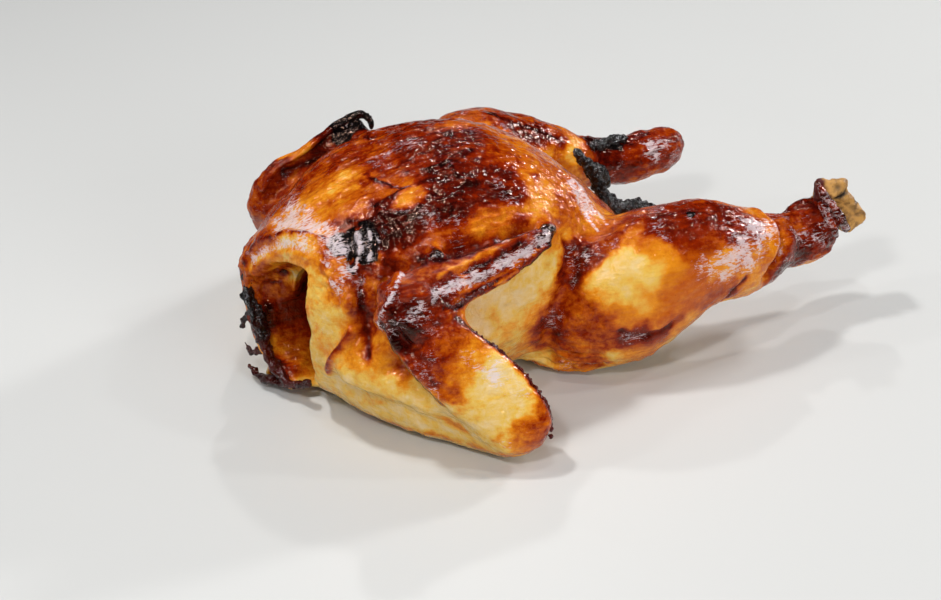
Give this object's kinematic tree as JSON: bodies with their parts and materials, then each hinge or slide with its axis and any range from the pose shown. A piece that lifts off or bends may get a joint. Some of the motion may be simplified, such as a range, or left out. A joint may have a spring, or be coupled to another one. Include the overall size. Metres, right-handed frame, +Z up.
{
  "type": "roast chicken",
  "caption": "Whole roast chicken lying on its back, wings folded, drumsticks out, open at the neck and at the vent.",
  "frame": {"origin": "middle of the bounding box, on the surface the bird rests on", "axes": "+X from the neck end to the legs, +Z up through the breast, so +Y is the bird's own left side"},
  "size_m": [0.2792, 0.2164, 0.1035],
  "materials": {
    "skin": "crisp glazed skin, from pale cream through golden to mahogany",
    "bone": "dry tan joint end of the bare shank",
    "char": "black, crumbly burnt edges"
  },
  "bodies": {
    "root": {"roast_chicken": "skin"}
  },
  "joints": []
}
